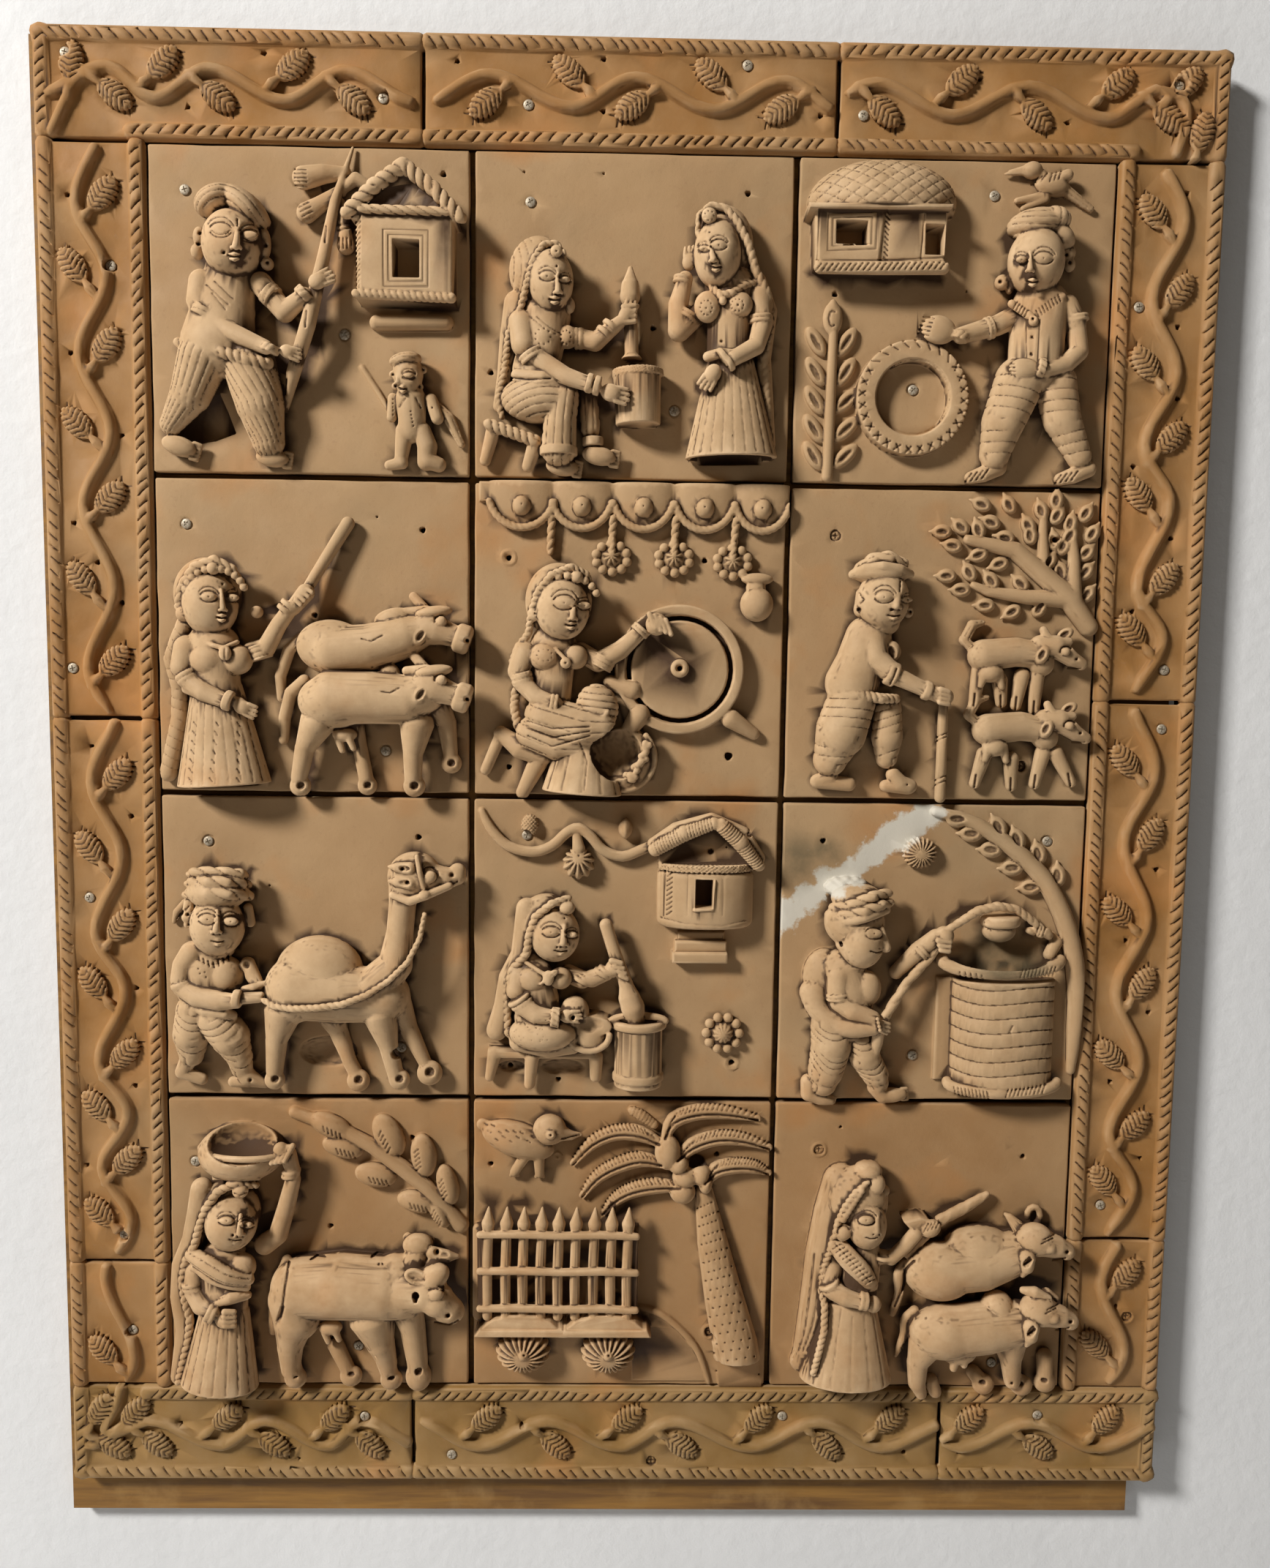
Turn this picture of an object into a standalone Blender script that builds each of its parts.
"""Terracotta relief panel: twelve picture tiles in a border of vine tiles, screwed to a backing board.

The board's back lies in the plane y = 0, against the wall, and the reliefs look along -Y.
"""

import math

import bmesh
import bpy
from mathutils import Vector
from mathutils.bvhtree import BVHTree

# Driving sizes, in metres.
TILE = 0.254
TILE_THICK = 0.013
TILE_GAP = 0.0038
BORDER_WIDTH = 0.083
BORDER_THICK = 0.013
BORDER_GAP = 0.003
BORDER_SEAM = 0.0025
RIDGE_WIDTH = 0.013
RIDGE_HEIGHT = 0.008
VINE_WIDTH = 0.009
VINE_HEIGHT = 0.006
VINE_SWING = 0.012
VINE_PERIOD = 0.118
LEAF_LENGTH = 0.036
LEAF_WIDTH = 0.019
LEAF_HEIGHT = 0.005
LEAF_SUNK = 0.0005
RIDGE_SUNK = 0.002
BOARD_THICK = 0.012
BOARD_MARGIN_LEFT = 0.010
BOARD_MARGIN_RIGHT = -0.015
BOARD_MARGIN_TOP = 0.0
BOARD_MARGIN_BOTTOM = 0.039
SEAT_GAP = 0.0003
SCREW_HEAD = 0.0082
SCREW_HEAD_HEIGHT = 0.0022
SCREW_SHANK = 0.004
SCREW_BITE = 0.009
HOLE_CLEARANCE = 0.0007
PILOT_CLEARANCE = 0.0003
CUT_PAST = 0.001
WINDOW_DEPTH = 24

# The reliefs are pressed in steps of CLAY_STEP, read CLAY_INSET inside a tile's rim, reach no further than
# FORM_REACH, and keep about so many triangles, on a border for each period of its vine. A screw's head keeps
# FILM of clay under it where a figure stands.
CLAY_STEP = 0.003
CLAY_INSET = 0.0001
FORM_REACH = 0.08
FILM = 0.0002
PICTURE_TRIANGLES = 335
VINE_TRIANGLES = 33
THINNING_TRIES = 30
THINNING_STEP = 1.013

COLUMNS = 3
ROWS = 4
PICTURE_UNITS = 254
UNIT = TILE / PICTURE_UNITS

GRID_WIDTH = COLUMNS * TILE + (COLUMNS - 1) * TILE_GAP
GRID_HEIGHT = ROWS * TILE + (ROWS - 1) * TILE_GAP
FIELD_WIDTH = GRID_WIDTH + 2 * BORDER_GAP
FIELD_HEIGHT = GRID_HEIGHT + 2 * BORDER_GAP
BOARD_WIDTH = FIELD_WIDTH + 2 * BORDER_WIDTH + BOARD_MARGIN_LEFT + BOARD_MARGIN_RIGHT
BOARD_HEIGHT = FIELD_HEIGHT + 2 * BORDER_WIDTH + BOARD_MARGIN_TOP + BOARD_MARGIN_BOTTOM
GRID_X = (BOARD_MARGIN_LEFT - BOARD_MARGIN_RIGHT) / 2
GRID_Z = (BOARD_MARGIN_BOTTOM - BOARD_MARGIN_TOP) / 2
TILE_FACE = BOARD_THICK + SEAT_GAP + TILE_THICK
BORDER_FACE = BOARD_THICK + SEAT_GAP + BORDER_THICK

# The reliefs' places are read in picture units on a plane READ_OUT in front of the tiles' faces, from
# an eye at EYE_X, EYE_Z, EYE_OUT from the grid's middle. What stands nearer or further moves along its
# line of sight.
READ_OUT = 20
EYE_X = -10
EYE_Z = 101
EYE_OUT = 980

# Where each border side is parted, as shares of its run from the left or from the bottom.
TOP_SEAMS = (0.322, 0.670)
BOTTOM_SEAMS = (0.310, 0.799)
LEFT_SEAMS = (0.107, 0.559)
RIGHT_SEAMS = (0.131, 0.583)


def material(name, colour, roughness, metallic=0.0):
    made = bpy.data.materials.new(name)
    made.use_nodes = True
    shader = made.node_tree.nodes["Principled BSDF"]
    shader.inputs["Base Color"].default_value = (*colour, 1.0)
    shader.inputs["Roughness"].default_value = roughness
    shader.inputs["Metallic"].default_value = metallic
    made.diffuse_color = (*colour, 1.0)
    return made


def add_object(name, mesh, finish):
    mesh.materials.clear()
    mesh.materials.append(finish)
    made = bpy.data.objects.new(name, mesh)
    bpy.context.scene.collection.objects.link(made)
    return made


def box_faces(shape, low, high):
    """Adds a closed box between two opposite corners."""
    corners = [
        shape.verts.new((x, y, z))
        for z in (low[2], high[2])
        for y in (low[1], high[1])
        for x in (low[0], high[0])
    ]
    for face in ((0, 2, 3, 1), (4, 5, 7, 6), (0, 1, 5, 4), (2, 6, 7, 3), (0, 4, 6, 2), (1, 3, 7, 5)):
        shape.faces.new([corners[i] for i in face])


def prism_faces(shape, front, back):
    """Closes two like outlines, given anticlockwise as seen from the front, into a solid."""
    near = [shape.verts.new(p) for p in front]
    far = [shape.verts.new(p) for p in back]
    count = len(near)
    shape.faces.new(near)
    shape.faces.new(far[::-1])
    for i in range(count):
        j = (i + 1) % count
        shape.faces.new((near[j], near[i], far[i], far[j]))


def turned(shape, centre, profile):
    """Adds a closed seven-sided turning about an axis along Y through (x, z), from (radius, y) stations."""
    sides = 7
    angles = [2 * math.pi * k / sides for k in range(sides)]
    rings = [
        [shape.verts.new((centre[0] + r * math.cos(a), y, centre[1] + r * math.sin(a))) for a in angles]
        for r, y in profile
    ]
    for ring, following in zip(rings, rings[1:]):
        for k in range(sides):
            m = (k + 1) % sides
            shape.faces.new((ring[k], ring[m], following[m], following[k]))
    shape.faces.new(rings[0][::-1])
    shape.faces.new(rings[-1])


class Relief:
    """Closed shapes modelled on one tile: x along it, z up it and out from its face, in picture units."""

    def __init__(self, corner, along, across, unit, lean=None):
        self.corner = corner
        self.along = along
        self.across = across
        self.unit = unit
        self.lean = lean
        self.added = bmesh.new()
        self.removed = bmesh.new()

    def at(self, x, z, out):
        if self.lean:
            shift = (READ_OUT - out) / (EYE_OUT - READ_OUT)
            x, z = x + (x - self.lean[0]) * shift, z + (z - self.lean[1]) * shift
        return self.corner + self.unit * (x * self.along + z * self.across + Vector((0, -out, 0)))

    def limb(self, path, sides=5, flat=1.0):
        """A rounded stick along stations of (x, z, out, radius)."""
        points = [self.at(x, z, out) for x, z, out, _ in path]
        rings = []
        for i, point in enumerate(points):
            ahead = points[min(i + 1, len(points) - 1)] - points[max(i - 1, 0)]
            side = ahead.cross(Vector((0, -1, 0))).normalized()
            front = side.cross(ahead).normalized()
            radius = path[i][3] * self.unit
            turn = math.pi / 2 if sides % 2 else 0
            rings.append([
                self.added.verts.new(
                    point
                    + radius * math.cos(turn + 2 * math.pi * k / sides) * side
                    + radius * flat * math.sin(turn + 2 * math.pi * k / sides) * front
                )
                for k in range(sides)
            ])
        for ring, following in zip(rings, rings[1:]):
            for k in range(sides):
                m = (k + 1) % sides
                self.added.faces.new((ring[k], ring[m], following[m], following[k]))
        self.added.faces.new(rings[0][::-1])
        self.added.faces.new(rings[-1])

    def ball(self, x, z, out, wide, high, deep, sides=6, turn=0.0):
        """An egg with its poles to the front and back, turned anticlockwise by degrees."""
        angle = math.radians(turn)
        centre = self.at(x, z, out)

        def point(polar, k):
            a = 2 * math.pi * k / sides
            u = wide * math.sin(polar) * math.cos(a)
            v = high * math.sin(polar) * math.sin(a)
            u, v = u * math.cos(angle) - v * math.sin(angle), u * math.sin(angle) + v * math.cos(angle)
            step = u * self.along + v * self.across + Vector((0, -deep * math.cos(polar), 0))
            return self.added.verts.new(centre + self.unit * step)

        rings = [[point(math.radians(polar), k) for k in range(sides)] for polar in (46, 98)]
        front = point(0.0, 0)
        back = point(math.pi, 0)
        for k in range(sides):
            m = (k + 1) % sides
            self.added.faces.new((front, rings[0][k], rings[0][m]))
            self.added.faces.new((rings[0][k], rings[1][k], rings[1][m], rings[0][m]))
            self.added.faces.new((back, rings[1][m], rings[1][k]))

    def slab(self, outline, front, back=-4, top=None):
        """A flat-faced piece with its outline given anticlockwise, from back out to front."""
        near = [self.at(x, z, front if top is None else top[i]) for i, (x, z) in enumerate(outline)]
        face = self.corner.y - back * self.unit
        prism_faces(self.added, near, [Vector((p.x, face, p.z)) for p in near])

    def bar(self, x0, x1, z0, z1, front, back=-4):
        self.slab([(x0, z0), (x1, z0), (x1, z1), (x0, z1)], front, back)

    def hoop(self, x, z, front, outer, inner, sides=12):
        """A flat ring lying on the face."""
        centre = self.at(x, z, front)
        rings = []
        for radius, level in ((outer, -4), (outer, front), (inner, front), (inner, -4)):
            ring = []
            for k in range(sides):
                a = 2 * math.pi * k / sides
                spoke = radius * (math.cos(a) * self.along + math.sin(a) * self.across)
                place = centre + self.unit * spoke
                ring.append(self.added.verts.new((place.x, self.corner.y - level * self.unit, place.z)))
            rings.append(ring)
        for ring, following in zip(rings, rings[1:] + rings[:1]):
            for k in range(sides):
                m = (k + 1) % sides
                self.added.faces.new((ring[k], ring[m], following[m], following[k]))

    def window(self, x0, x1, z0, z1, front, depth=WINDOW_DEPTH):
        """Cuts an opening back from a front face."""
        near = [self.at(x, z, front) for x, z in ((x0, z0), (x1, z0), (x1, z1), (x0, z1))]
        proud = [Vector((p.x, p.y - 3 * self.unit, p.z)) for p in near]
        prism_faces(self.removed, proud, [Vector((p.x, p.y + depth * self.unit, p.z)) for p in near])


def person_limbs(clay, limbs, hands=(), sides=5):
    for path in limbs:
        clay.limb(path, sides)
    for hand in hands:
        clay.ball(*hand, sides=4)


def picture_a(clay):
    """A turbaned man with a long staff, a gabled hut and a child."""
    clay.ball(72, 172, 21, 24, 27, 23, sides=8)
    clay.ball(58, 201, 20, 17, 13, 17)
    clay.ball(85, 197, 20, 18, 14, 17, turn=-30)
    clay.limb([(69, 146, 10, 24), (63, 116, 11, 24), (60, 92, 12, 30)], 6, 0.7)
    person_limbs(clay, [
        [(46, 140, 14, 10), (48, 116, 20, 9), (98, 93, 32, 6)],
        [(96, 142, 12, 9), (112, 121, 18, 8), (130, 139, 24, 7)],
        [(112, 47, 3, 4), (128, 108, 24, 7), (150, 195, 10, 5), (164, 241, 2, 4)],
        [(160, 226, 4, 5), (128, 223, 8, 9)],
        [(156, 212, 4, 5), (128, 195, 7, 7)],
        [(158, 200, 4, 4), (160, 170, 7, 7)],
    ], [(116, 91, 29, 9, 8, 7), (137, 146, 25, 11, 8, 8)])
    clay.limb([(50, 84, 12, 21), (40, 56, 12, 16), (24, 34, 9, 9)], 6, 0.9)
    clay.limb([(82, 80, 10, 21), (92, 48, 12, 18), (96, 22, 10, 11)], 6, 0.9)
    clay.limb([(16, 21, 6, 7), (44, 11, 9, 7)], 4)
    clay.limb([(92, 14, 6, 7), (116, 7, 9, 7)], 4)
    clay.bar(167, 243, 133, 198, 30)
    clay.slab([(159, 195), (252, 195), (207, 236)], 34)
    clay.window(196, 217, 149, 178, 30)
    clay.bar(182, 242, 109, 120, 9)
    clay.ball(208, 75, 10, 12, 16, 12)
    clay.limb([(211, 60, 7, 13), (211, 36, 7, 11)], 5, 0.8)
    clay.limb([(204, 34, 5, 7), (200, 8, 5, 8)], 4)
    clay.limb([(218, 34, 5, 8), (224, 7, 5, 9)], 4)
    clay.limb([(226, 54, 4, 6), (248, 20, 3, 4)], 4)


def picture_b(clay):
    """A seated woman pounding at a mortar, and a standing woman."""
    clay.ball(55, 154, 14, 25, 28, 18, sides=8)
    clay.ball(63, 148, 24, 17, 24, 17, sides=6)
    clay.limb([(40, 145, 10, 10), (30, 105, 9, 7), (22, 48, 8, 5)], 4)
    clay.limb([(58, 122, 12, 21), (52, 92, 14, 18), (48, 70, 12, 18)], 6, 0.8)
    person_limbs(clay, [
        [(41, 114, 18, 11), (47, 91, 22, 9), (98, 69, 30, 7)],
        [(76, 107, 10, 8), (97, 103, 14, 8), (118, 122, 18, 7)],
        [(124, 160, 12, 3), (124, 146, 12, 9), (125, 118, 12, 6), (126, 84, 12, 10)],
    ], [(112, 64, 28, 12, 9, 6), (124, 126, 19, 7, 11, 8)])
    clay.limb([(132, 82, 8, 20), (131, 39, 8, 17)], 6)
    clay.ball(54, 58, 14, 31, 19, 20)
    clay.limb([(72, 60, 18, 14), (69, 18, 16, 14)], 5)
    clay.limb([(92, 62, 8, 8), (96, 26, 8, 7)], 4)
    clay.limb([(95, 18, 8, 8), (115, 12, 10, 7)], 4)
    clay.limb([(14, 36, 12, 5), (52, 24, 14, 5)], 4)
    clay.limb([(16, 34, 8, 5), (9, 7, 5, 5)], 4)
    clay.ball(196, 178, 14, 24, 31, 17, sides=8)
    clay.ball(192, 172, 23, 18, 26, 17, sides=6)
    clay.limb([(218, 165, 12, 8), (234, 130, 10, 7), (233, 90, 8, 5), (238, 24, 6, 4)], 4)
    clay.limb([(204, 146, 10, 22), (203, 118, 14, 18), (202, 92, 13, 18)], 6, 0.8)
    clay.ball(186, 131, 24, 10, 10, 8, sides=4)
    clay.ball(209, 133, 24, 10, 9, 8, sides=4)
    person_limbs(clay, [
        [(226, 138, 13, 9), (230, 110, 18, 9), (200, 88, 29, 7)],
        [(178, 124, 12, 8), (162, 114, 13, 9), (168, 160, 16, 6)],
    ], [(188, 76, 27, 9, 13, 6), (171, 171, 15, 6, 9, 6)])
    clay.limb([(203, 92, 10, 16), (205, 50, 12, 26), (205, 17, 12, 35)], 6, 0.62)


def picture_c(clay):
    """A turbaned man with a big wheel, a domed hut, a bird and a plant."""
    clay.bar(12, 113, 166, 212, 26)
    clay.slab([(4, 209), (119, 212), (103, 230), (70, 243), (40, 239), (12, 222)], 30)
    clay.window(27, 52, 181, 199, 26)
    clay.window(98, 111, 175, 198, 26)
    clay.hoop(92, 65, 14, 44, 29.5)
    clay.limb([(25, 3, 3, 5), (27, 112, 3, 4)], 4)
    clay.ball(26, 125, 3, 8, 13, 5, sides=4)
    for z in (103, 81, 60, 38, 17):
        clay.ball(14, z, 2, 6, 12, 4, sides=4, turn=35)
        clay.ball(37, z, 2, 6, 12, 4, sides=4, turn=-35)
    clay.ball(196, 226, 6, 13, 9, 8, sides=5)
    clay.ball(179, 239, 6, 8, 6, 6, sides=4)
    clay.limb([(178, 239, 5, 3), (158, 236, 3, 2)], 4)
    clay.limb([(203, 224, 4, 5), (225, 211, 3, 3)], 4)
    clay.limb([(190, 222, 4, 5), (168, 212, 3, 3)], 4)
    clay.ball(187, 172, 21, 24, 27, 22, sides=8)
    clay.ball(187, 201, 18, 27, 12, 18, turn=8)
    clay.limb([(190, 144, 10, 22), (187, 112, 12, 22), (188, 82, 12, 22)], 6, 0.8)
    person_limbs(clay, [
        [(216, 134, 12, 9), (222, 100, 16, 8), (194, 87, 28, 7)],
        [(172, 128, 10, 9), (150, 118, 13, 8), (128, 112, 16, 7)],
    ], [(177, 88, 27, 12, 8, 7), (112, 115, 16, 14, 12, 7)])
    clay.limb([(178, 80, 12, 21), (166, 48, 12, 16), (158, 19, 10, 11)], 6, 0.9)
    clay.limb([(204, 78, 12, 17), (213, 46, 12, 14), (227, 21, 10, 10)], 6, 0.9)
    clay.limb([(163, 10, 7, 7), (139, 4, 9, 7)], 4)
    clay.limb([(232, 12, 7, 7), (210, 4, 9, 7)], 4)


def ox_leg(clay, path):
    """A leg with its round hoof."""
    clay.limb(path, 4)
    x, z, out, radius = path[-1]
    clay.ball(x, z - 1, out, 8, 8, 6, sides=6)


def picture_d(clay):
    """A woman raising a stick behind two oxen."""
    clay.ball(51, 164, 14, 29, 27, 17, sides=8)
    clay.ball(55, 157, 24, 20, 26, 17, sides=6)
    clay.limb([(28, 148, 12, 8), (21, 108, 8, 6), (24, 75, 7, 5), (15, 16, 6, 8)], 4)
    clay.limb([(55, 126, 10, 22), (54, 98, 13, 18), (50, 78, 12, 18)], 6, 0.8)
    clay.ball(44, 110, 22, 10, 10, 8, sides=4)
    clay.ball(69, 110, 22, 10, 10, 8, sides=4)
    person_limbs(clay, [
        [(30, 114, 14, 9), (29, 90, 20, 9), (64, 79, 30, 7)],
        [(80, 118, 8, 8), (94, 112, 12, 8), (114, 152, 16, 6)],
        [(115, 150, 12, 4), (162, 219, 8, 5)],
    ], [(75, 73, 30, 9, 7, 5), (124, 157, 18, 9, 8, 8)])
    clay.limb([(52, 80, 10, 17), (55, 40, 12, 28), (56, 8, 12, 40)], 6, 0.6)
    clay.limb([(136, 116, 12, 20), (168, 116, 14, 18), (206, 130, 16, 17)], 6)
    clay.limb([(212, 138, 18, 14), (240, 132, 24, 10), (256, 127, 26, 9)], 6)
    clay.ball(215, 127, 24, 7, 7, 8, sides=4)
    clay.limb([(216, 158, 8, 6), (240, 150, 14, 7)], 4)
    clay.limb([(140, 74, 14, 24), (175, 71, 16, 24), (212, 80, 18, 22)], 6)
    clay.ball(193, 102, 14, 12, 10, 10, sides=5)
    clay.limb([(214, 94, 22, 14), (242, 88, 27, 11), (256, 83, 28, 9)], 6)
    clay.ball(216, 78, 30, 8, 8, 8, sides=4)
    clay.limb([(200, 113, 20, 4), (226, 106, 26, 8)], 4)
    ox_leg(clay, [(130, 50, 12, 12), (120, 6, 9, 6)])
    ox_leg(clay, [(166, 30, 5, 6), (174, 7, 7, 5)])
    ox_leg(clay, [(208, 56, 14, 12), (214, 8, 10, 6)])
    ox_leg(clay, [(244, 46, 4, 5), (243, 27, 5, 5)])
    clay.limb([(122, 132, 8, 3), (106, 116, 6, 4), (101, 92, 5, 3)], 4)
    clay.limb([(122, 98, 8, 3), (109, 80, 7, 4), (105, 44, 6, 3)], 4)


def picture_e(clay):
    """A woman turning a grinding wheel under a scalloped canopy."""
    canopy = [(257, 238), (257, 251), (5, 251), (5, 238)]
    for x in (40, 89, 138, 187, 234):
        canopy += [(x - 22, 226), (x, 213), (x + 22, 226)]
    clay.slab(canopy, 6)
    for x in (40, 88, 138, 187, 230):
        clay.ball(x, 233, 6, 8, 8, 7, sides=5)
    for x in (112, 163, 209):
        clay.limb([(x + 1, 222, 3, 4), (x, 204, 3, 3)], 4)
        clay.ball(x, 194, 2, 15, 14, 5, sides=8)
    clay.limb([(64, 222, 3, 5), (63, 196, 3, 4)], 4)
    clay.ball(230, 157, 8, 14, 15, 12, sides=6)
    clay.ball(230, 177, 8, 13, 4, 9, sides=4)
    clay.hoop(166, 105, 10, 53, 40)
    clay.ball(168, 105, 2, 8, 8, 5, sides=6)
    clay.limb([(136, 70, 4, 8), (123, 50, 4, 4)], 4)
    clay.limb([(212, 70, 4, 6), (230, 53, 4, 4)], 4)
    clay.limb([(130, 92, 4, 7), (109, 95, 4, 4)], 4)
    clay.ball(72, 162, 14, 28, 28, 17, sides=8)
    clay.ball(79, 154, 24, 18, 25, 17, sides=6)
    clay.limb([(50, 145, 10, 8), (35, 110, 9, 6), (36, 70, 8, 5), (50, 40, 8, 5)], 4)
    clay.limb([(70, 126, 10, 21), (68, 96, 13, 17), (64, 72, 13, 19)], 6, 0.8)
    clay.ball(59, 110, 23, 11, 10, 8, sides=4)
    clay.ball(85, 112, 22, 9, 9, 8, sides=4)
    person_limbs(clay, [
        [(42, 114, 16, 9), (44, 92, 20, 8), (68, 74, 29, 6), (84, 64, 28, 4)],
        [(92, 114, 9, 8), (107, 110, 12, 8), (138, 137, 17, 6)],
    ], [(150, 141, 16, 10, 9, 7)])
    clay.ball(72, 57, 14, 36, 20, 20)
    clay.limb([(96, 58, 14, 19), (90, 12, 14, 25)], 6, 0.9)
    clay.ball(105, 80, 12, 14, 14, 12, sides=5)
    clay.limb([(20, 48, 7, 7), (48, 30, 10, 8)], 4)
    clay.limb([(18, 45, 6, 5), (12, 19, 4, 4)], 4)
    clay.limb([(50, 25, 8, 6), (42, 3, 6, 5)], 4)
    clay.limb([(140, 50, 10, 4), (147, 32, 12, 5), (136, 12, 12, 5), (118, 9, 10, 4)], 4)
    clay.ball(128, 30, 4, 20, 20, 8, sides=5)


def picture_f(clay):
    """An old man with a stick, a tree and two goats."""
    clay.ball(74, 167, 20, 24, 25, 21, sides=8)
    clay.ball(70, 190, 18, 25, 11, 18)
    clay.limb([(68, 140, 8, 22), (58, 118, 10, 26), (50, 88, 10, 26)], 6, 0.8)
    person_limbs(clay, [
        [(62, 132, 16, 11), (66, 111, 22, 10), (84, 102, 29, 8), (112, 90, 32, 7)],
        [(126, 82, 24, 4), (127, 40, 10, 5), (125, 8, 3, 6)],
    ], [(124, 87, 29, 10, 8, 7)])
    clay.limb([(52, 84, 12, 22), (40, 54, 12, 19), (28, 28, 10, 12)], 6, 0.9)
    clay.limb([(77, 74, 10, 13), (78, 36, 8, 10)], 5)
    clay.limb([(22, 17, 6, 7), (50, 12, 8, 5)], 4)
    clay.limb([(78, 14, 6, 7), (100, 11, 8, 7)], 4)
    clay.limb([(252, 132, 3, 7), (226, 168, 3, 7), (180, 200, 3, 6), (140, 209, 2, 4)], 4)
    clay.limb([(228, 164, 3, 6), (180, 166, 3, 5), (148, 173, 2, 4)], 4)
    clay.limb([(226, 172, 3, 5), (228, 212, 2, 4)], 4)
    leaves = (
        (118, 219, 15), (131, 206, 15), (127, 184, 0), (139, 171, -15), (155, 160, -10), (179, 155, 20),
        (152, 199, 5), (166, 193, -5), (165, 180, -50), (185, 178, -25), (158, 228, -20), (147, 243, -10),
        (174, 240, -50), (170, 214, -10), (190, 218, 80), (198, 235, 80), (213, 243, 80), (201, 156, 40),
        (236, 233, 70), (210, 213, 70), (207, 195, 60), (216, 187, 70), (237, 187, 60), (238, 203, 50),
        (222, 206, 80), (240, 170, 60),
    )
    for x, z, turn in leaves:
        clay.ball(x, z, 1, 11, 6, 5, sides=4, turn=turn)
    for x, z in ((0, 0), (10, -60)):
        clay.limb([(160 + x, 118 + z, 8, 14), (202 + x, 120 + z, 9, 14)], 5)
        clay.limb([(206 + x, 128 + z, 12, 9), (230 + x, 117 + z, 14, 7)], 4)
        clay.ball(208 + x, 121 + z, 16, 6, 9, 5, sides=4)
        clay.limb([(150 + x, 122 + z, 5, 4), (146 + x, 140 + z, 5, 5)], 4)
    clay.ball(214, 138, 4, 16, 6, 6, sides=4)
    clay.ball(232, 80, 4, 10, 7, 6, sides=4, turn=40)
    legs = ((155, 108, 151, 77), (170, 108, 173, 78), (188, 108, 183, 75), (200, 112, 199, 71),
            (166, 48, 153, 8), (182, 46, 185, 8), (212, 48, 202, 8), (222, 50, 236, 10))
    for x0, z0, x1, z1 in legs:
        clay.limb([(x0, z0, 7, 6), (x1, z1, 5, 4)], 4)


def picture_g(clay):
    """A man holding a camel by a rope."""
    clay.ball(51, 149, 20, 24, 24, 21, sides=8)
    clay.ball(53, 182, 19, 26, 15, 20, sides=6)
    clay.limb([(50, 128, 8, 22), (48, 100, 11, 20), (46, 76, 11, 21)], 6, 0.8)
    person_limbs(clay, [
        [(27, 124, 12, 9), (24, 100, 16, 9), (44, 90, 24, 8), (84, 88, 28, 5)],
        [(72, 117, 8, 6), (82, 104, 10, 6), (86, 92, 16, 5)],
    ])
    clay.limb([(32, 76, 12, 16), (28, 52, 11, 14), (25, 34, 9, 10)], 6, 0.9)
    clay.limb([(58, 76, 12, 18), (66, 50, 12, 16), (73, 26, 9, 9)], 6, 0.9)
    clay.limb([(18, 28, 6, 7), (38, 18, 7, 6)], 4)
    clay.limb([(64, 20, 6, 7), (84, 17, 7, 5)], 4)
    clay.limb([(112, 88, 12, 20), (150, 86, 14, 26), (190, 92, 14, 26)], 6)
    clay.ball(138, 112, 10, 38, 32, 15, sides=8)
    clay.limb([(192, 94, 14, 22), (198, 130, 14, 18), (202, 176, 15, 15)], 6)
    clay.ball(208, 190, 20, 18, 20, 15, sides=6)
    clay.limb([(220, 197, 20, 14), (246, 196, 22, 8)], 5)
    ox_leg(clay, [(108, 72, 10, 14), (98, 17, 7, 7)])
    ox_leg(clay, [(142, 56, 4, 6), (164, 19, 5, 6)])
    ox_leg(clay, [(184, 68, 12, 12), (198, 18, 8, 7)])
    ox_leg(clay, [(209, 62, 5, 6), (222, 27, 6, 6)])
    rope = [(86, 86, 28, 3), (104, 80, 32, 3), (140, 81, 38, 3), (180, 97, 38, 3), (206, 120, 30, 3), (220, 148, 24, 3)]
    clay.limb(rope, 4)


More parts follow.
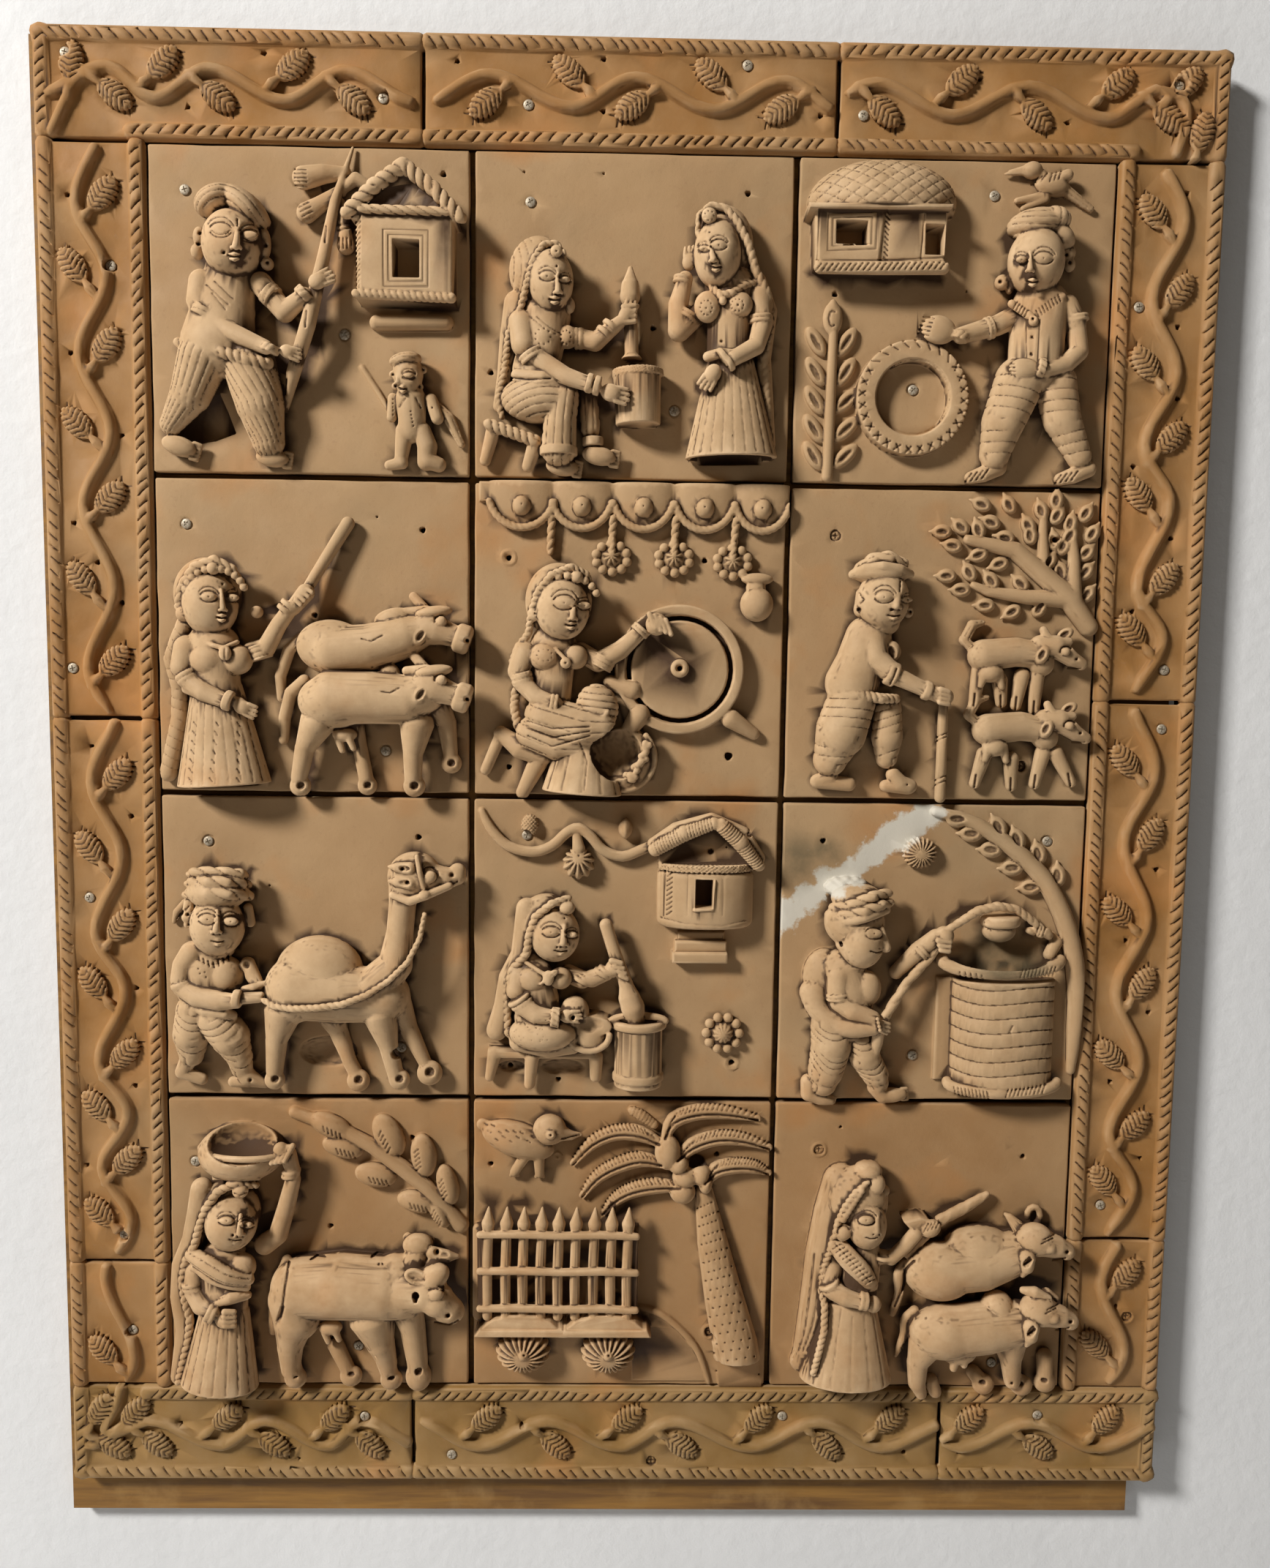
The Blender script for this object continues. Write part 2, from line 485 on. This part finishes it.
def picture_h(clay):
    """A seated woman with pestle and mortar, a hut, a garland and a bead flower."""
    garland = [(12, 240, 3, 5), (28, 219, 4, 5), (50, 213, 4, 5), (68, 222, 4, 5), (86, 236, 4, 5),
               (100, 226, 4, 5), (118, 213, 4, 5), (134, 214, 4, 5), (150, 224, 4, 6)]
    clay.limb(garland, 4)
    clay.ball(88, 205, 6, 12, 14, 8, sides=6)
    clay.ball(47, 237, 4, 6, 6, 6, sides=4)
    clay.ball(126, 232, 4, 9, 9, 7, sides=5)
    clay.bar(152, 232, 153, 204, 28)
    clay.slab([(148, 212), (155, 210), (196, 229), (234, 202), (238, 206), (200, 240), (186, 240)], 33)
    clay.slab([(158, 203), (230, 203), (196, 229)], 26)
    clay.window(184, 199, 166, 191, 28)
    for z in (123, 131, 140):
        clay.bar(167, 210, z, z + 8, 6 + (z - 123) * 0.2)
    clay.ball(62, 154, 14, 26, 28, 17, sides=8)
    clay.ball(70, 147, 23, 19, 25, 17, sides=6)
    clay.limb([(43, 140, 10, 8), (32, 110, 9, 6), (32, 65, 8, 6), (50, 45, 10, 5)], 4)
    clay.limb([(62, 120, 10, 20), (58, 90, 12, 18), (56, 66, 12, 20)], 6, 0.8)
    person_limbs(clay, [
        [(40, 110, 16, 9), (43, 88, 20, 9), (70, 76, 27, 7)],
        [(84, 106, 9, 7), (98, 104, 12, 8), (112, 113, 17, 7)],
        [(110, 152, 12, 6), (122, 118, 17, 6), (132, 90, 18, 9), (134, 70, 18, 11)],
    ], [(84, 76, 22, 13, 13, 10), (120, 115, 21, 9, 10, 8)])
    clay.limb([(138, 74, 10, 22), (138, 60, 10, 18), (138, 34, 10, 18), (138, 21, 10, 22)], 8, 0.9)
    clay.ball(60, 60, 14, 28, 16, 19)
    clay.ball(97, 60, 8, 17, 15, 12, sides=6)
    clay.limb([(14, 46, 10, 6), (108, 44, 10, 5)], 4)
    for x0, x1, z1 in ((20, 14, 21), (48, 48, 17), (102, 104, 24)):
        clay.limb([(x0, 44, 7, 6), (x1, z1, 5, 4)], 4)
    clay.hoop(208, 62, 5, 18, 10, 10)
    clay.ball(208, 62, 2, 8, 8, 6, sides=5)


def picture_i(clay):
    """A man drawing water at a round well under a leafy branch."""
    clay.ball(110, 215, 3, 13, 13, 7, sides=8)
    clay.limb([(243, 22, 1, 4), (246, 112, 2, 4), (232, 160, 3, 5), (212, 196, 3, 5), (172, 232, 3, 4), (132, 248, 2, 3)], 4)
    leaves = ((136, 244, -15), (152, 232, 0), (174, 241, -30), (168, 219, 0), (190, 231, -50), (187, 207, -5),
              (208, 214, -65), (202, 188, -20), (224, 199, 85))
    for x, z, turn in leaves:
        clay.ball(x, z, 1, 11, 5, 5, sides=4, turn=turn)
    clay.ball(65, 148, 20, 22, 25, 20, sides=8)
    clay.ball(62, 171, 17, 24, 11, 18, turn=14)
    clay.limb([(60, 126, 9, 22), (52, 100, 10, 24), (46, 72, 10, 20)], 6, 0.8)
    person_limbs(clay, [
        [(42, 112, 14, 9), (44, 94, 20, 9), (80, 72, 28, 7)],
        [(96, 128, 12, 6), (116, 138, 15, 7), (134, 148, 20, 6)],
        [(83, 76, 27, 3), (110, 110, 25, 4), (137, 146, 22, 5)],
        [(137, 152, 18, 3), (166, 168, 16, 5), (184, 171, 14, 6), (214, 150, 10, 5)],
    ], [(136, 142, 21, 9, 7, 7)])
    clay.limb([(40, 66, 12, 16), (38, 40, 11, 13), (36, 20, 10, 12)], 6, 0.9)
    clay.limb([(70, 62, 12, 14), (76, 38, 11, 13), (83, 18, 9, 7)], 6, 0.9)
    clay.limb([(18, 9, 6, 6), (42, 5, 8, 6)], 4)
    clay.limb([(80, 10, 6, 7), (107, 8, 8, 5)], 4)
    clay.limb([(184, 114, 12, 46), (184, 18, 12, 46)], 8, 0.45)
    clay.limb([(128, 127, 6, 6), (140, 118, 20, 6), (184, 114, 28, 6), (222, 118, 20, 6), (228, 134, 6, 6)], 4)
    clay.limb([(138, 18, 12, 5), (160, 12, 22, 5), (208, 12, 22, 5), (230, 18, 12, 5)], 4)
    clay.ball(180, 158, 12, 16, 13, 13, sides=6)


def picture_j(clay):
    """A woman carrying a bowl on her head, and a buffalo."""
    bowl = [(33, 222), (38, 203), (56, 193), (84, 193), (102, 205), (107, 222)]
    clay.slab(bowl, 30, 2)
    clay.ball(56, 164, 14, 27, 28, 17, sides=8)
    clay.ball(57, 158, 23, 21, 26, 17, sides=6)
    clay.limb([(30, 145, 10, 8), (19, 112, 9, 8), (20, 75, 8, 5), (13, 16, 6, 5)], 4)
    clay.limb([(52, 130, 10, 22), (52, 98, 13, 18), (52, 84, 13, 18)], 6, 0.8)
    clay.limb([(28, 124, 18, 8), (50, 109, 25, 8), (70, 103, 22, 7)], 5)
    person_limbs(clay, [
        [(26, 106, 14, 8), (34, 83, 20, 8), (48, 74, 26, 7)],
        [(84, 136, 9, 8), (106, 146, 11, 7), (111, 180, 14, 7), (107, 214, 19, 5)],
    ], [(56, 69, 26, 10, 9, 6)])
    clay.limb([(52, 92, 10, 17), (50, 50, 12, 26), (48, 12, 12, 36)], 6, 0.62)
    clay.limb([(128, 94, 14, 30), (165, 94, 18, 34), (202, 102, 16, 28)], 6, 0.85)
    clay.limb([(210, 110, 20, 20), (228, 94, 23, 16), (243, 76, 22, 10)], 6)
    clay.ball(212, 90, 32, 8, 12, 7, sides=4)
    clay.limb([(208, 140, 4, 6), (232, 134, 6, 7)], 4)
    clay.limb([(226, 128, 10, 5), (244, 125, 10, 4)], 4)
    ox_leg(clay, [(112, 60, 12, 16), (108, 16, 8, 8)])
    ox_leg(clay, [(144, 44, 4, 7), (158, 17, 5, 7)])
    ox_leg(clay, [(182, 62, 14, 14), (192, 16, 8, 7)])
    ox_leg(clay, [(210, 52, 5, 8), (220, 17, 6, 7)])
    clay.limb([(110, 116, 8, 4), (101, 84, 6, 4), (95, 60, 5, 4)], 4)
    clay.limb([(252, 158, 1, 5), (216, 198, 2, 5), (170, 228, 2, 4), (128, 246, 1, 3)], 4)
    lumps = ((143, 241, 17, 8, -15), (156, 216, 17, 8, -20), (190, 226, 16, 9, -60), (182, 195, 17, 8, -10),
             (220, 213, 17, 11, 85), (212, 174, 17, 8, -15), (241, 188, 20, 8, -60), (186, 242, 10, 6, -50))
    for x, z, long, wide, turn in lumps:
        clay.ball(x, z, 2, long, wide, 7, sides=5, turn=turn)


def picture_k(clay):
    """A slatted cart, a palm and a bird."""
    clay.limb([(12, 240, 2, 6), (45, 231, 5, 12), (64, 228, 5, 9)], 5)
    clay.ball(67, 237, 6, 11, 11, 9, sides=6)
    clay.limb([(76, 233, 5, 5), (92, 235, 3, 2)], 4)
    clay.limb([(48, 216, 3, 4), (37, 201, 3, 4)], 4)
    clay.limb([(58, 216, 3, 4), (59, 200, 3, 4)], 4)
    clay.limb([(196, 182, 4, 8), (206, 130, 5, 13), (222, 70, 6, 18), (232, 22, 6, 20)], 5, 0.8)
    clay.ball(168, 212, 6, 13, 20, 10, sides=6)
    clay.ball(184, 190, 7, 12, 11, 9, sides=5)
    fronds = (((158, 226), (122, 234), (92, 206)), ((154, 206), (124, 206), (95, 181)),
              ((170, 182), (140, 186), (113, 168)), ((166, 230), (185, 250), (234, 247)),
              ((174, 216), (202, 232), (246, 226)), ((194, 198), (214, 207), (247, 204)))
    for a, b, c in fronds:
        clay.limb([(*a, 4, 6), (*b, 4, 7), (*c, 2, 4)], 4)
    for i in range(9):
        x = 16 + 14.8 * i
        clay.limb([(x, 76, 17, 5), (x, 156, 17, 5.5), (x, 168, 17, 1.5)], 4)
    for z in (145, 113, 80):
        clay.bar(7, 141, z - 3, z + 3, 23, 12)
    clay.bar(9, 22, 78, 150, 14)
    clay.bar(128, 138, 78, 150, 14)
    for x in (46, 114):
        clay.slab([(x - 36, 56), (x + 36, 56), (x + 24, 70), (x, 77), (x - 24, 70)], 21)
        clay.ball(x, 41, 8, 21, 17, 15, sides=8)
    clay.limb([(140, 83, 1, 4), (180, 60, 1, 4), (203, 18, 1, 4)], 4)


def picture_l(clay):
    """A veiled woman driving two cattle."""
    clay.ball(66, 178, 14, 27, 32, 18, sides=8)
    clay.ball(74, 161, 22, 18, 23, 18, sides=6)
    clay.limb([(44, 172, 8, 12), (40, 130, 9, 16), (34, 80, 8, 14), (30, 36, 6, 14)], 5)
    clay.limb([(68, 130, 10, 22), (66, 100, 13, 20), (66, 88, 12, 20)], 6, 0.8)
    clay.limb([(48, 130, 18, 8), (80, 106, 24, 7)], 5)
    person_limbs(clay, [
        [(46, 106, 14, 8), (56, 94, 22, 8), (80, 86, 29, 6)],
        [(92, 128, 10, 6), (108, 138, 13, 7), (126, 156, 16, 6)],
        [(124, 152, 15, 6), (178, 183, 7, 5)],
    ])
    clay.limb([(64, 92, 10, 22), (62, 50, 12, 30), (62, 22, 12, 38)], 6, 0.62)
    clay.limb([(136, 110, 12, 24), (170, 118, 13, 26), (208, 128, 14, 22)], 6)
    clay.limb([(214, 138, 18, 18), (236, 136, 22, 13), (248, 132, 22, 9)], 6)
    clay.ball(214, 118, 26, 7, 9, 7, sides=4)
    clay.ball(216, 162, 4, 7, 8, 5, sides=4)
    clay.limb([(138, 62, 14, 24), (178, 60, 16, 25), (210, 72, 17, 20)], 6)
    clay.ball(194, 88, 14, 14, 11, 12, sides=5)
    clay.limb([(218, 82, 22, 16), (240, 74, 26, 13), (254, 69, 27, 8)], 6)
    clay.limb([(213, 98, 22, 5), (238, 90, 26, 6)], 4)
    clay.ball(221, 60, 31, 7, 9, 7, sides=4)
    ox_leg(clay, [(128, 46, 12, 12), (128, 8, 8, 6)])
    ox_leg(clay, [(172, 30, 4, 6), (181, 14, 5, 5)])
    ox_leg(clay, [(206, 50, 14, 11), (212, 12, 8, 6)])
    ox_leg(clay, [(236, 34, 4, 5), (236, 16, 5, 5)])
    clay.limb([(122, 130, 8, 4), (108, 112, 6, 4), (103, 78, 5, 3)], 4)
    clay.limb([(118, 82, 8, 4), (112, 62, 7, 4), (107, 42, 5, 3)], 4)


PICTURES = (
    picture_a, picture_b, picture_c, picture_d, picture_e, picture_f,
    picture_g, picture_h, picture_i, picture_j, picture_k, picture_l,
)

# Screws on each picture tile, in picture units from its lower left corner.
TILE_SCREWS = (
    ((29, 219), (154, 110)), ((44, 215), (161, 55)), ((156, 227), (96, 75)),
    ((25, 217), (185, 35)), (), (),
    ((38, 216), (197, 42)), ((44, 224),), ((222, 224), (115, 39)),
    ((22, 199), (159, 35)), (), ((194, 22),),
)

# Each border side: its name, its seams, and its pieces with their screws as shares of length and width.
BORDER_SIDES = (
    ("top", TOP_SEAMS, (("left", ((0.08, 0.76), (0.90, 0.41))), ("mid", ((0.25, 0.38), (0.78, 0.78))),
                        ("right", ((0.06, 0.35), (0.87, 0.68))))),
    ("bottom", BOTTOM_SEAMS, (("left", ((0.86, 0.68),)), ("mid", ((0.07, 0.26), (0.70, 0.70))),
                              ("right", ((0.45, 0.72),)))),
    ("left", LEFT_SEAMS, (("short", ((0.45, 0.62),)), ("low", ((0.05, 0.56), (0.68, 0.30))),
                          ("up", ((0.087, 0.20), (0.79, 0.67))))),
    ("right", RIGHT_SEAMS, (("short", ()), ("low", ((0.065, 0.31), (0.955, 0.68))),
                            ("up", ((0.06, 0.675), (0.74, 0.235))))),
)


def screw_mesh():
    """A domed head over a shank, its seat at the origin and its point towards +Y."""
    shape = bmesh.new()
    length = TILE_THICK + SEAT_GAP * 2 + SCREW_BITE
    turned(shape, (0, 0), (
        (SCREW_HEAD / 2 * 0.7, -SCREW_HEAD_HEIGHT), (SCREW_HEAD / 2, 0.0),
        (SCREW_SHANK / 2, 0.0), (SCREW_SHANK / 2, length),
    ))
    bmesh.ops.recalc_face_normals(shape, faces=shape.faces)
    mesh = bpy.data.meshes.new("screw")
    shape.to_mesh(mesh)
    shape.free()
    return mesh


def with_modifier(mesh, kind, **settings):
    """The mesh as one modifier leaves it."""
    carrier = bpy.data.objects.new("carrier", mesh)
    bpy.context.scene.collection.objects.link(carrier)
    step = carrier.modifiers.new("step", kind)
    for name, value in settings.items():
        setattr(step, name, value)
    bpy.context.view_layer.update()
    result = bpy.data.meshes.new_from_object(carrier.evaluated_get(bpy.context.evaluated_depsgraph_get()))
    bpy.data.objects.remove(carrier)
    return result


def combined(mesh, shape, operation):
    """The mesh with the bmesh's closed shapes joined on or cut out."""
    bmesh.ops.recalc_face_normals(shape, faces=shape.faces)
    bmesh.ops.connect_verts_nonplanar(shape, faces=shape.faces, angle_limit=math.radians(0.05))
    other = bpy.data.meshes.new("helper")
    shape.to_mesh(other)
    helper = bpy.data.objects.new("helper", other)
    bpy.context.scene.collection.objects.link(helper)
    result = with_modifier(mesh, "BOOLEAN", operation=operation, solver="EXACT", use_self=True, object=helper)
    bpy.data.objects.remove(helper)
    return result


def pressed(clay, low, high, face, thick):
    """A tile's slab with its front raised over the shapes on it, as clay is pressed over a form."""
    bmesh.ops.recalc_face_normals(clay.added, faces=clay.added.faces)
    forms = BVHTree.FromBMesh(clay.added)
    clay.added.free()
    columns = math.ceil((high[0] - low[0]) / CLAY_STEP)
    rows = math.ceil((high[1] - low[1]) / CLAY_STEP)
    front, back = [], []
    for j in range(rows + 1):
        for i in range(columns + 1):
            x = low[0] + (high[0] - low[0]) * i / columns
            z = low[1] + (high[1] - low[1]) * j / rows
            start = Vector((
                min(max(x, low[0] + CLAY_INSET), high[0] - CLAY_INSET),
                -face - FORM_REACH,
                min(max(z, low[1] + CLAY_INSET), high[1] - CLAY_INSET),
            ))
            met = forms.ray_cast(start, Vector((0, 1, 0)), FORM_REACH)[0]
            front.append((x, met.y if met else -face, z))
            back.append((x, -face + thick, z))
    faces = []
    width = columns + 1
    behind = len(front)
    for j in range(rows):
        for i in range(columns):
            k = j * width + i
            faces.append((k, k + 1, k + width + 1, k + width))
            faces.append(tuple(behind + m for m in (k, k + width, k + width + 1, k + 1)))
    rim = [*range(width), *range(2 * width - 1, behind, width),
           *range(behind - 2, behind - width - 1, -1), *range(behind - 2 * width, 0, -width)]
    for m, n in zip(rim, rim[1:] + rim[:1]):
        faces.append((n, m, m + behind, n + behind))
    mesh = bpy.data.meshes.new("tile")
    mesh.from_pydata(front + back, [], faces)
    return mesh


def one_closed_body(mesh):
    """Whether the skin is closed, pinched nowhere, and hangs together by its edges."""
    shape = bmesh.new()
    shape.from_mesh(mesh)
    shape.faces.ensure_lookup_table()
    sound = all(edge.is_manifold for edge in shape.edges) and all(corner.is_manifold for corner in shape.verts)
    waiting = [shape.faces[0]]
    reached = {shape.faces[0]}
    while waiting:
        for edge in waiting.pop().edges:
            fresh = [face for face in edge.link_faces if face not in reached]
            reached.update(fresh)
            waiting += fresh
    whole = len(reached) == len(shape.faces)
    shape.free()
    return sound and whole


def tile_mesh(low, high, face, thick, clay, screws, most):
    """A tile between two corners of the grid plane, with its relief and its screw holes.

    The relief is thinned to about so many triangles, and to a few more where that opens or splits the body.
    """
    wide = SCREW_HEAD / 2 + HOLE_CLEARANCE
    narrow = SCREW_SHANK / 2 + HOLE_CLEARANCE
    seat = -face - FILM
    for place in screws:
        profile = ((wide, -face - FORM_REACH), (wide, seat), (narrow, seat), (narrow, -face + thick + CUT_PAST))
        turned(clay.removed, place, profile)
    full = pressed(clay, low, high, face, thick)
    full.calc_loop_triangles()
    ratio = min(1.0, most / len(full.loop_triangles))
    for _ in range(THINNING_TRIES):
        mesh = with_modifier(full, "DECIMATE", ratio=ratio)
        if clay.removed.faces:
            mesh = combined(mesh, clay.removed, "DIFFERENCE")
        if one_closed_body(mesh):
            break
        ratio *= THINNING_STEP
    return mesh


def picture_tile(index, finish):
    """One picture tile, and where its screws stand."""
    row, column = divmod(index, COLUMNS)
    left = GRID_X - GRID_WIDTH / 2 + column * (TILE + TILE_GAP)
    low = GRID_Z + GRID_HEIGHT / 2 - TILE - row * (TILE + TILE_GAP)
    eye = (
        EYE_X + PICTURE_UNITS / 2 - (column - (COLUMNS - 1) / 2) * PICTURE_UNITS,
        EYE_Z + PICTURE_UNITS / 2 - ((ROWS - 1) / 2 - row) * PICTURE_UNITS,
    )
    clay = Relief(Vector((left, -TILE_FACE, low)), Vector((1, 0, 0)), Vector((0, 0, 1)), UNIT, eye)
    PICTURES[index](clay)
    screws = [(left + x * UNIT, low + z * UNIT) for x, z in TILE_SCREWS[index]]
    high = (left + TILE, low + TILE)
    mesh = tile_mesh((left, low), high, TILE_FACE, TILE_THICK, clay, screws, PICTURE_TRIANGLES)
    add_object("picture_tile_" + "abcdefghijkl"[index], mesh, finish)
    return screws


def vine(clay, length, across_middle):
    """A wavy stem with a leaf in each bend, along a border piece, in metres."""
    waves = max(0.5, round(2 * length / VINE_PERIOD) / 2)
    period = length / waves
    points = round(waves * 4)
    path = []
    for i in range(points + 1):
        x = min(max(length * i / points, VINE_WIDTH / 2), length - VINE_WIDTH / 2)
        z = across_middle + VINE_SWING * math.sin(2 * math.pi * x / period)
        path.append((x, z, -VINE_HEIGHT * 0.15, VINE_WIDTH / 2))
    clay.limb(path, 3, VINE_HEIGHT * 1.15 / (VINE_WIDTH / 2))
    for i in range(round(waves * 2)):
        x = period * (0.25 + 0.5 * i)
        under = 1 if i % 2 else -1
        z = across_middle + under * VINE_SWING * 0.75
        clay.ball(x, z, -LEAF_SUNK, LEAF_LENGTH / 2, LEAF_WIDTH / 2, LEAF_HEIGHT, sides=4, turn=-32 * under)


def ridge(clay, start, end, middle, cross):
    """A raised rope along one edge of a border piece, as a low bar with sloping sides."""
    half = RIDGE_WIDTH / 2
    outline = ((-half, -RIDGE_SUNK), (half, -RIDGE_SUNK), (half, RIDGE_HEIGHT * 0.55), (0, RIDGE_HEIGHT),
               (-half, RIDGE_HEIGHT * 0.55))
    rings = []
    for along in (start, end):
        spots = [(middle + v, along) if cross else (along, middle + v) for v, _ in outline]
        rings.append([clay.at(x, z, out) for (x, z), (_, out) in zip(spots, outline)])
    prism_faces(clay.added, rings[0], rings[1])


def border_piece(side, piece, start, end, screws, finish):
    """One border tile from start to end along its side, and where its screws stand."""
    length = end - start
    level = side in ("top", "bottom")
    outer_x = GRID_X - FIELD_WIDTH / 2 - BORDER_WIDTH
    if level:
        x = outer_x + start
        z = GRID_Z + (FIELD_HEIGHT / 2 if side == "top" else -FIELD_HEIGHT / 2 - BORDER_WIDTH)
        corner, along, across = Vector((x, -BORDER_FACE, z)), Vector((1, 0, 0)), Vector((0, 0, 1))
    else:
        x = outer_x if side == "left" else GRID_X + FIELD_WIDTH / 2
        z = GRID_Z - FIELD_HEIGHT / 2 + BORDER_SEAM + start
        corner, along, across = Vector((x, -BORDER_FACE, z)), Vector((0, 0, 1)), Vector((1, 0, 0))
    clay = Relief(corner, along, across, 1.0)
    inset = RIDGE_WIDTH / 2
    vine(clay, length, BORDER_WIDTH / 2)
    ridge(clay, 0.0, length, inset, False)
    ridge(clay, 0.0, length, BORDER_WIDTH - inset, False)
    if level and piece in ("left", "right"):
        end_ridge = inset if piece == "left" else length - inset
        ridge(clay, inset, BORDER_WIDTH - inset, end_ridge, True)
    low = clay.at(0, 0, 0)
    high = clay.at(length, BORDER_WIDTH, 0)
    places = [clay.at(s * length, t * BORDER_WIDTH, 0) for s, t in screws]
    spots = [(p.x, p.z) for p in places]
    most = VINE_TRIANGLES * length / VINE_PERIOD
    mesh = tile_mesh((low.x, low.z), (high.x, high.z), BORDER_FACE, BORDER_THICK, clay, spots, most)
    add_object("border_" + side + "_" + piece, mesh, finish)
    return spots


def border(finish):
    """All twelve border tiles, and where their screws stand."""
    spots = []
    for side, seams, pieces in BORDER_SIDES:
        level = side in ("top", "bottom")
        run = FIELD_WIDTH + 2 * BORDER_WIDTH if level else FIELD_HEIGHT - 2 * BORDER_SEAM
        cuts = [0.0, *(share * run for share in seams), run]
        for i, (piece, screws) in enumerate(pieces):
            start = cuts[i] + (BORDER_SEAM / 2 if i else 0.0)
            end = cuts[i + 1] - (BORDER_SEAM / 2 if i < len(seams) else 0.0)
            spots += border_piece(side, piece, start, end, screws, finish)
    return spots


def board(screws, finish):
    """The backing board, with a blind pilot hole for each screw."""
    shape = bmesh.new()
    half_x, half_z = BOARD_WIDTH / 2, BOARD_HEIGHT / 2
    box_faces(shape, (-half_x, -BOARD_THICK, -half_z), (half_x, 0.0, half_z))
    bmesh.ops.recalc_face_normals(shape, faces=shape.faces)
    base = bpy.data.meshes.new("blank")
    shape.to_mesh(base)
    shape.free()
    pilots = bmesh.new()
    bottom = -BOARD_THICK + SCREW_BITE + SEAT_GAP + PILOT_CLEARANCE
    for place in screws:
        radius = SCREW_SHANK / 2 + PILOT_CLEARANCE
        turned(pilots, place, ((radius, -BOARD_THICK - CUT_PAST), (radius, bottom)))
    add_object("backing_board", combined(base, pilots, "DIFFERENCE"), finish)


def main():
    for old in list(bpy.data.objects):
        bpy.data.objects.remove(old)
    fired_clay = material("terracotta", (0.42, 0.25, 0.13), 0.85)
    wood = material("board_wood", (0.16, 0.11, 0.05), 0.7)
    steel = material("screw_steel", (0.55, 0.5, 0.42), 0.4, 1.0)
    screws = []
    for index in range(len(PICTURES)):
        screws += picture_tile(index, fired_clay)
    screws += border(fired_clay)
    board(screws, wood)
    shared = screw_mesh()
    for number, (x, z) in enumerate(screws, 1):
        made = add_object(f"screw_{number:02d}", shared, steel)
        made.location = (x, -TILE_FACE - SEAT_GAP, z)


main()
